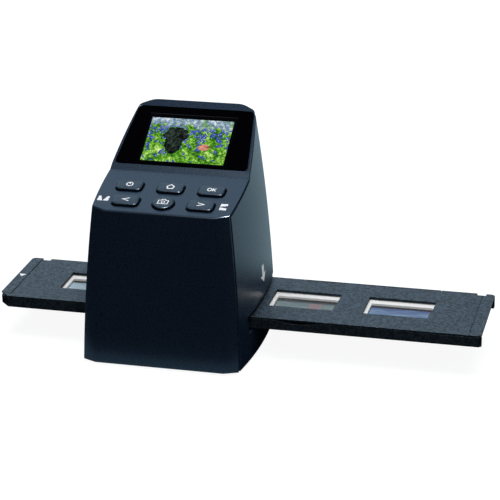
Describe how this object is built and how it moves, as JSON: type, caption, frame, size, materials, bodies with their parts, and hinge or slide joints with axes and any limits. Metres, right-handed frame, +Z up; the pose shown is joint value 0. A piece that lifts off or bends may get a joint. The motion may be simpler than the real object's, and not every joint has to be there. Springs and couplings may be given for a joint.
{
  "type": "film negative scanner",
  "caption": "Table-top film and slide scanner: wedge-shaped dark body with a sloping screen and push buttons, and a flat slide holder that slides through both sides.",
  "frame": {"origin": "on the table, under the middle of the whole object with the slide holder in place", "axes": "+X along the slide holder to the user's right, +Y to the back, +Z up"},
  "size_m": [0.2826, 0.096, 0.1282],
  "materials": {
    "casing": "dark blue-black fine-grained moulded plastic",
    "button": "dark grey satin plastic with white printed icons",
    "glass": "clear glossy window, black round the picture",
    "picture": "lit screen that shows a flower meadow",
    "rubber": "black rubber",
    "steel": "plated steel",
    "board": "green circuit board",
    "chip": "black moulded component",
    "inner": "dull black inner plastic",
    "diffuser": "opal white plastic",
    "lens": "coated optical glass",
    "holder": "dark grey plastic with a coarse speckled grain",
    "mount": "white slide mount",
    "film": "glossy slide film",
    "cable": "amber flat cable"
  },
  "bodies": {
    "scanner_body": {"front_cover": "casing", "rear_housing": "casing", "base_cover": "casing", "rubber_foot_1": "rubber", "rubber_foot_2": "rubber", "rubber_foot_3": "rubber", "rubber_foot_4": "rubber", "base_screw_1": "steel", "base_screw_2": "steel", "base_screw_3": "steel", "base_screw_4": "steel", "screen_window": "glass", "lcd_module": "picture", "key_pad": "rubber", "button_board": "board", "button_board_screw_1": "steel", "button_board_screw_2": "steel", "main_board": "board", "processor": "chip", "cable_plug": "chip", "screen_cable": "cable", "card_socket": "steel", "usb_socket": "steel", "video_socket": "inner", "sensor_board": "board", "image_sensor": "chip", "lens_barrel": "inner", "front_lens": "lens", "rear_lens": "lens", "optical_tunnel": "inner", "tunnel_screw_1": "steel", "tunnel_screw_2": "steel", "lower_film_guide": "inner", "upper_film_guide": "inner", "guide_screw_1": "steel", "guide_screw_2": "steel", "detent_spring": "steel", "light_diffuser": "diffuser", "light_box": "diffuser", "light_board": "board"},
    "slide_holder": {"holder_tray": "holder", "holder_lid": "holder", "hinge_pin_1": "holder", "hinge_pin_2": "holder", "slide_mount_1": "mount", "slide_mount_2": "mount", "slide_mount_3": "mount", "slide_mount_4": "mount", "slide_film_1": "film", "slide_film_2": "film", "slide_film_3": "film", "slide_film_4": "film"},
    "power_key": {"power_button": "button"},
    "home_key": {"home_button": "button"},
    "ok_key": {"ok_button": "button"},
    "left_key": {"left_button": "button"},
    "capture_key": {"capture_button": "button"},
    "right_key": {"right_button": "button"}
  },
  "joints": [
    {"name": "holder_slide", "type": "slide", "parent": "scanner_body", "child": "slide_holder", "axis": [1, 0, 0], "range_m": [-0.1258, 0.0548]},
    {"name": "power_press", "type": "slide", "parent": "scanner_body", "child": "power_key", "axis": [0, 0.2113, -0.9774], "range_m": [0, 0.0008], "stiffness_N_per_m": 400, "springref_m": -0.0003},
    {"name": "home_press", "type": "slide", "parent": "scanner_body", "child": "home_key", "axis": [0, 0.2113, -0.9774], "range_m": [0, 0.0008], "stiffness_N_per_m": 400, "springref_m": -0.0003},
    {"name": "ok_press", "type": "slide", "parent": "scanner_body", "child": "ok_key", "axis": [0, 0.2113, -0.9774], "range_m": [0, 0.0008], "stiffness_N_per_m": 400, "springref_m": -0.0003},
    {"name": "left_press", "type": "slide", "parent": "scanner_body", "child": "left_key", "axis": [0, 0.2113, -0.9774], "range_m": [0, 0.0008], "stiffness_N_per_m": 400, "springref_m": -0.0003},
    {"name": "capture_press", "type": "slide", "parent": "scanner_body", "child": "capture_key", "axis": [0, 0.2113, -0.9774], "range_m": [0, 0.0008], "stiffness_N_per_m": 400, "springref_m": -0.0003},
    {"name": "right_press", "type": "slide", "parent": "scanner_body", "child": "right_key", "axis": [0, 0.2113, -0.9774], "range_m": [0, 0.0008], "stiffness_N_per_m": 400, "springref_m": -0.0003}
  ]
}
